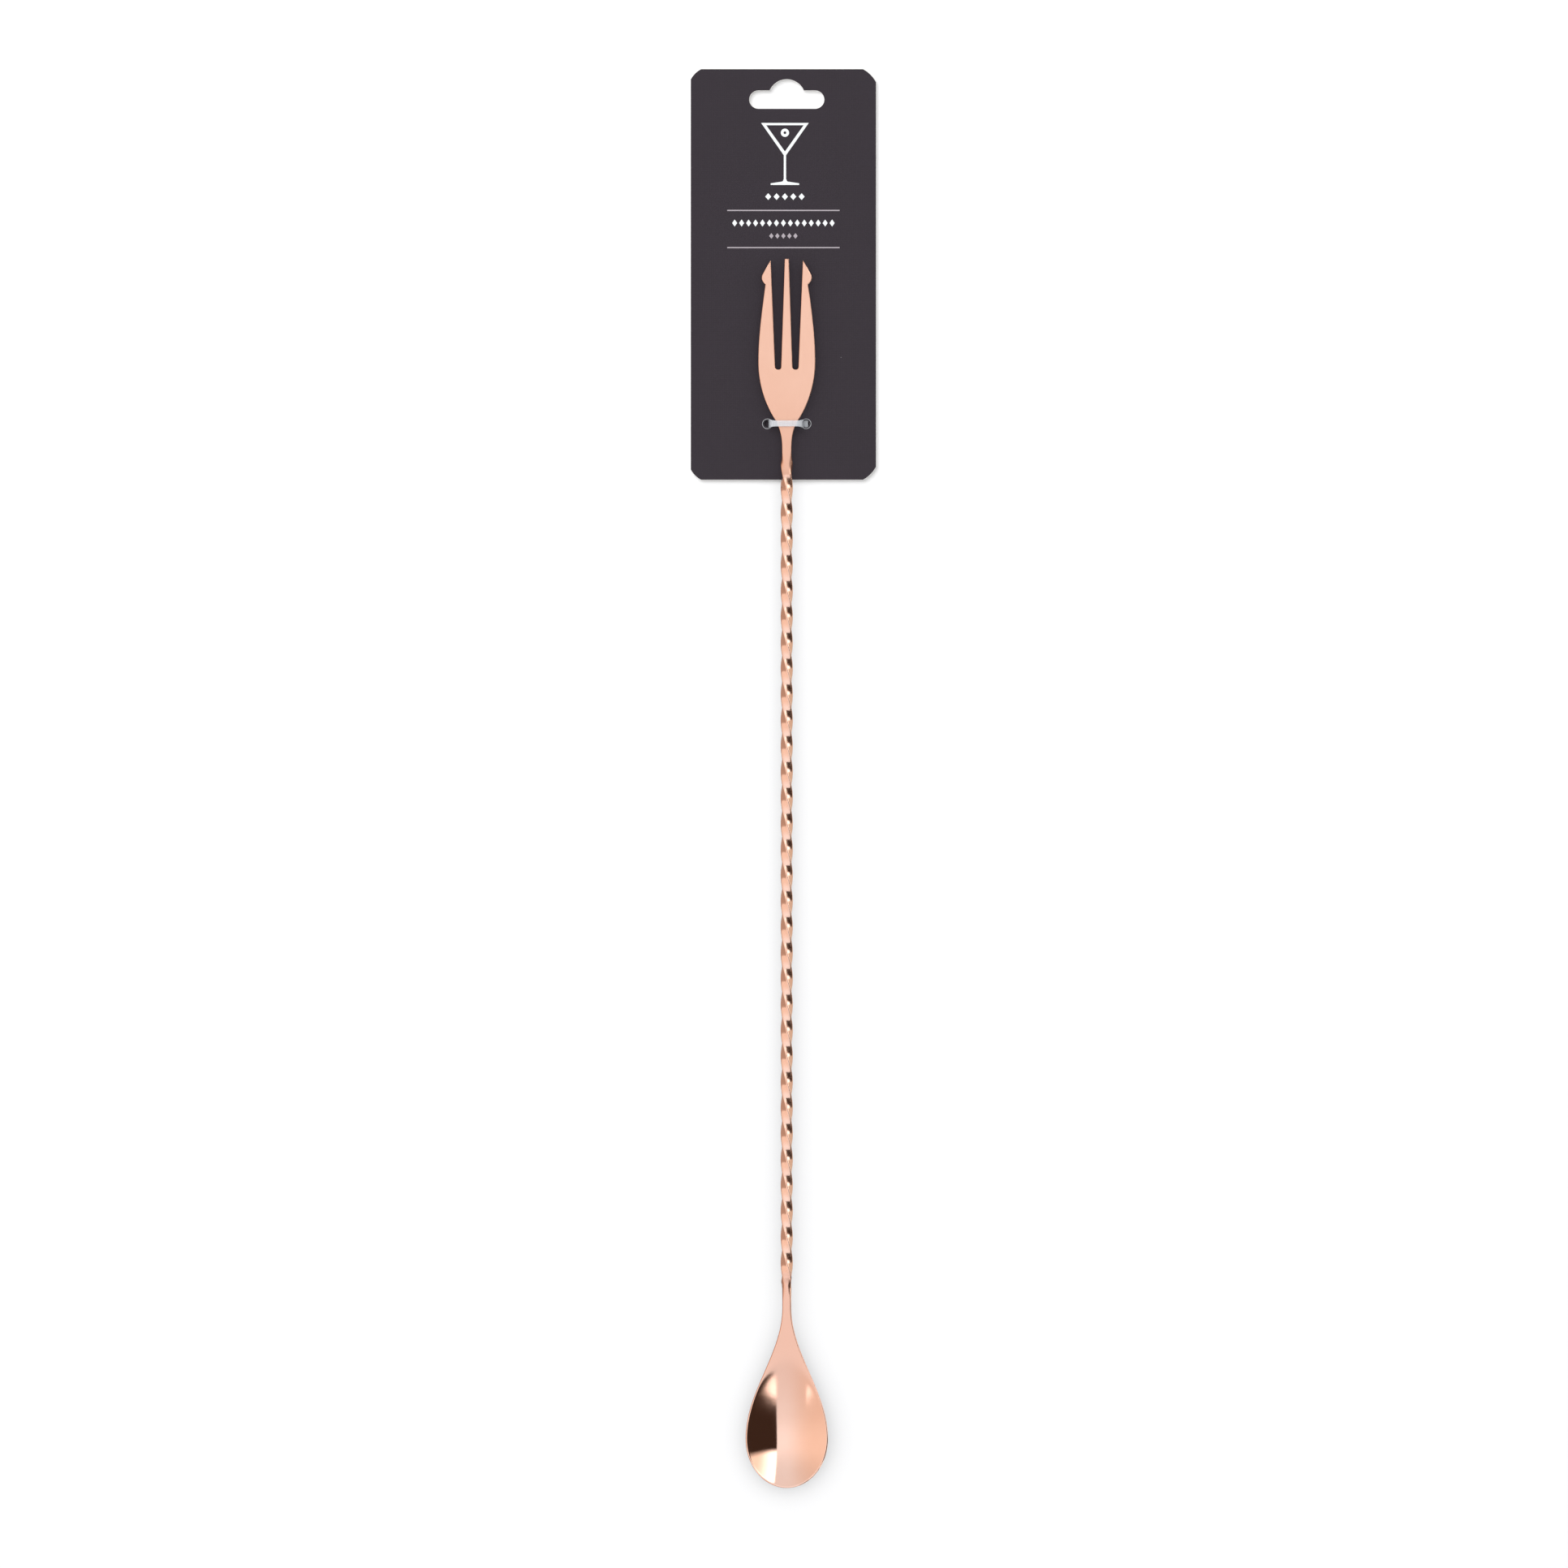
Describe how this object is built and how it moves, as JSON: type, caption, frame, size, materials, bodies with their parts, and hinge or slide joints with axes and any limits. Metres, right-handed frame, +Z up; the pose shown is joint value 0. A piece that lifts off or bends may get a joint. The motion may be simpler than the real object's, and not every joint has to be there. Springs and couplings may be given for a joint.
{
  "type": "bar spoon",
  "caption": "Long copper-finished bar spoon with a twisted square stem, a barbed fork at one end and a deep oval bowl at the other, tied to a retail hang card.",
  "frame": {"origin": "on the surface it lies on, under the card's centre line and midway between the card's top edge and the tip of the bowl", "axes": "+Z up out of the open bowl and the card's printed face, +Y along the stem from the bowl to the fork and the card, +X to the right of the card's face"},
  "size_m": [0.0604, 0.462, 0.0068],
  "materials": {
    "satin_copper": "satin brushed copper plating over stainless steel",
    "polished_copper": "polished copper plating over stainless steel",
    "dark_sheet": "matt linen-embossed cover sheet, printed dark plum grey",
    "white_board": "plain white board",
    "clear_plastic": "clear moulded plastic",
    "white_ink": "opaque white print",
    "grey_ink": "pale mauve-grey print"
  },
  "bodies": {
    "spoon": {"trident": "satin_copper", "twisted_stem": "polished_copper", "bowl": "polished_copper"},
    "card": {"card_back_sheet": "dark_sheet", "card_core_board": "white_board", "card_front_sheet": "dark_sheet", "card_tie": "clear_plastic", "print_emblem": "white_ink", "print_name_ornament": "white_ink", "print_upper_rule": "grey_ink", "print_title_ornament": "white_ink", "print_size_ornament": "grey_ink", "print_lower_rule": "grey_ink"}
  },
  "joints": [
    {"name": "card_slide", "type": "slide", "parent": "spoon", "child": "card", "axis": [0, -1, 0], "range_m": [0, 0.27]}
  ]
}
